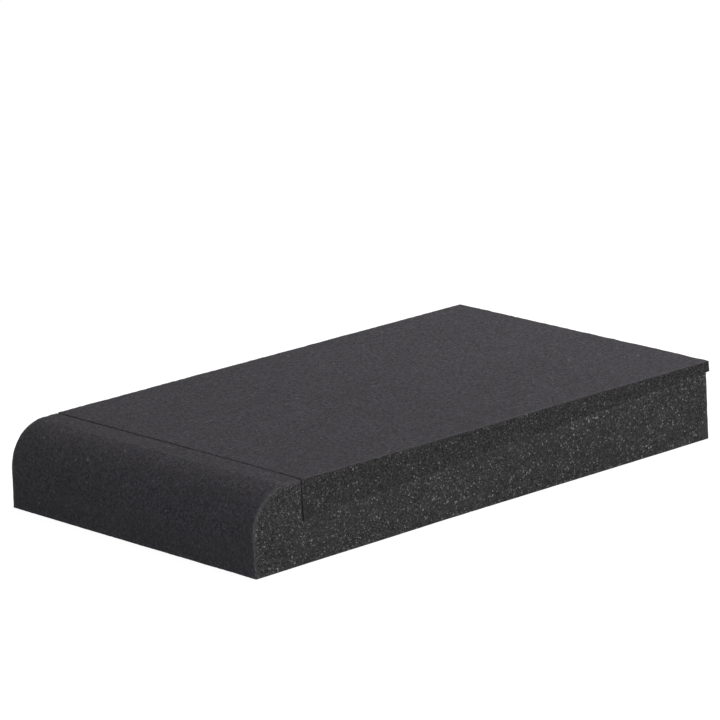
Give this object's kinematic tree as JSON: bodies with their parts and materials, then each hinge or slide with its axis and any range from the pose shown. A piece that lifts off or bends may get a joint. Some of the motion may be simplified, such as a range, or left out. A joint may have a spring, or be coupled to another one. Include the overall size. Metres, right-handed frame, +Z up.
{
  "type": "speaker isolation pad",
  "caption": "Foam pad that stands under a loudspeaker: a base with a rounded nose and a ramped seat, and a loose wedge that fills the seat.",
  "frame": {"origin": "on the surface that the pad stands on, under the middle of the whole pad", "axes": "+Z up, +Y from the rounded nose to the rear along the length, +X across the width"},
  "size_m": [0.184, 0.3026, 0.0416],
  "materials": {
    "base_foam": "matt open-cell polyurethane foam, charcoal",
    "insert_foam": "matt open-cell polyurethane foam, charcoal"
  },
  "bodies": {
    "root": {"foam_base": "base_foam", "wedge_insert": "insert_foam"}
  },
  "joints": []
}
